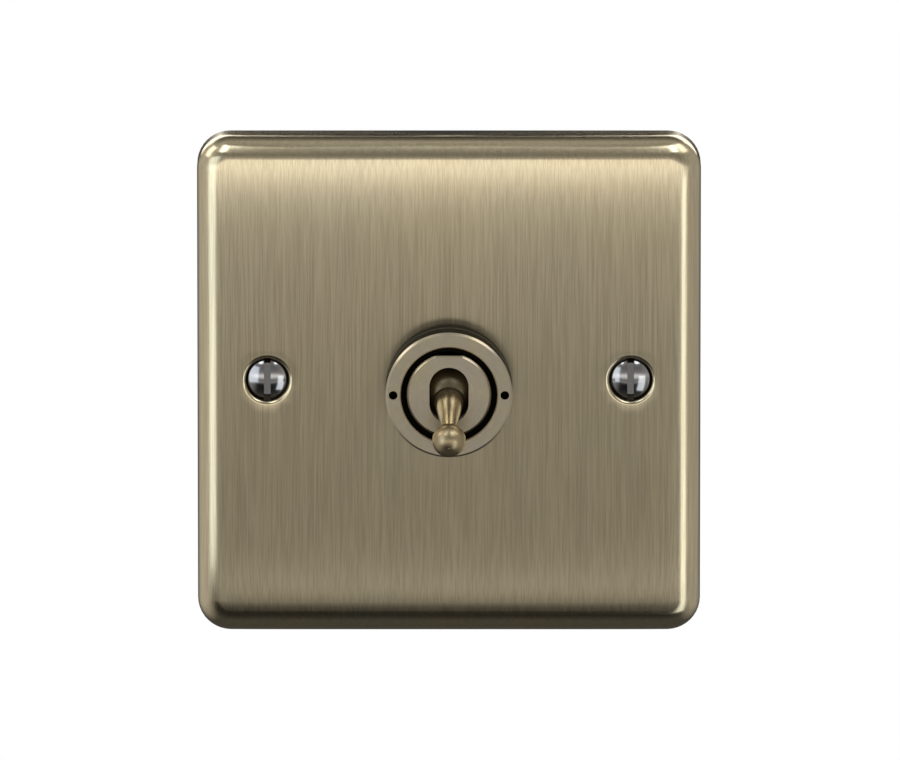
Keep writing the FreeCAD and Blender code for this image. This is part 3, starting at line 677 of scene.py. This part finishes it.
def make_light(name, azimuth, elevation, distance, width, height, radiance, colour=(1, 1, 1)):
    """A soft box aimed at the switch. Its distance, width and height are in metres."""
    data = bpy.data.lights.new(name, "AREA")
    data.shape = "RECTANGLE"
    data.size, data.size_y = width, height
    data.energy = radiance * math.pi * width * height
    data.color = colour
    light = bpy.data.objects.new(name, data)
    outward = away(azimuth, elevation)
    light.location = outward * distance
    light.rotation_euler = outward.to_track_quat("Z", "Y").to_euler()
    light.visible_camera = False
    bpy.context.scene.collection.objects.link(light)


# Brightness against the angle from straight in front: up and over to the back, and down and under.
BANDS = [
    (-180, 0.06),
    (-150, 0.10),
    (-110, 0.09),
    (-70, 0.10),
    (-45, 0.03),
    (-27, 0.02),
    (-22.5, 0.08),
    (-20, 0.40),
    (-17.5, 0.64),
    (-14.5, 0.40),
    (-12.5, 0.26),
    (-10.5, 0.33),
    (-8, 0.48),
    (-5, 0.80),
    (-1, 1.60),
    (6, 1.60),
    (12, 0.50),
    (25, 0.28),
    (60, 0.30),
    (88, 0.56),
    (106, 0.16),
    (125, 0.05),
    (180, 0.03),
]


def make_world():
    """White where the camera looks past the switch. What lights it is the bands, and a nearly
    even glow to the left and right."""
    brightest = 2
    beside_start, beside_full = 0.5, 0.9
    beside_glow, beside_lean = 0.62, 0.07
    world = bpy.data.worlds.new("studio")
    bpy.context.scene.world = world
    studio = Finish(world)
    direction = studio.node("ShaderNodeTexCoord", output="Generated")
    across, depth, height = (
        studio.node("ShaderNodeSeparateXYZ", inputs={0: direction}, output=axis) for axis in "XYZ"
    )
    angle = studio.maths("ARCTAN2", height, 0 - depth)
    stops = [(0.5 + turn / 360, bright / brightest) for turn, bright in BANDS]
    glow = studio.ramp(angle / (2 * math.pi) + 0.5, stops)
    beside = studio.step(studio.maths("ABSOLUTE", across), beside_start, beside_full)
    level = glow * brightest * (1 - beside) + beside * (beside_glow - across * beside_lean)
    shown = studio.node("ShaderNodeBackground", inputs={"Color": shade(1, 1, 1), "Strength": 1.0})
    felt = studio.node("ShaderNodeBackground", inputs={"Color": shade(1, 1, 1), "Strength": level})
    seen = studio.node("ShaderNodeLightPath", output="Is Camera Ray")
    mixed = studio.node("ShaderNodeMixShader", inputs={0: seen, 1: felt, 2: shown})
    studio.node("ShaderNodeOutputWorld", inputs={"Surface": mixed})


def make_camera():
    """A long lens, a little above the switch. Its distance, aim and view's width are in metres."""
    distance, width, elevation = 3.0, 900 / 6015, 10.5
    aim = Vector((0.00017, -0.0035, 0.0003))
    data = bpy.data.cameras.new("camera")
    data.sensor_width = 36.0
    data.lens = data.sensor_width * distance / width
    camera = bpy.data.objects.new("camera", data)
    outward = away(0, elevation)
    camera.location = aim + outward * distance
    camera.rotation_euler = outward.to_track_quat("Z", "Y").to_euler()
    bpy.context.scene.collection.objects.link(camera)
    bpy.context.scene.camera = camera


make_floor()
make_world()
make_light("left_strip", -47, 6, 0.45, 0.24, 0.38, 1.6, (0.74, 0.86, 1.0))
make_light("right_strip", 40, -20, 0.42, 0.15, 0.34, 1.9, (0.84, 0.92, 1.0))
make_light("upper_left", -82, 38, 0.60, 0.22, 0.26, 2.2)
make_light("upper_right", 68, 50, 0.60, 0.22, 0.26, 2.2)
make_light("front_left", -34, 52, 0.50, 0.12, 0.22, 4.5, (0.84, 0.92, 1.0))
make_light("front_right", 34, 52, 0.50, 0.12, 0.22, 4.5, (0.84, 0.92, 1.0))
make_light("rear_left", -150, 30, 0.80, 0.60, 0.50, 2.6)
make_light("rear_right", 150, 30, 0.80, 0.60, 0.50, 2.6)
make_camera()
bpy.context.scene.view_settings.view_transform = "Standard"
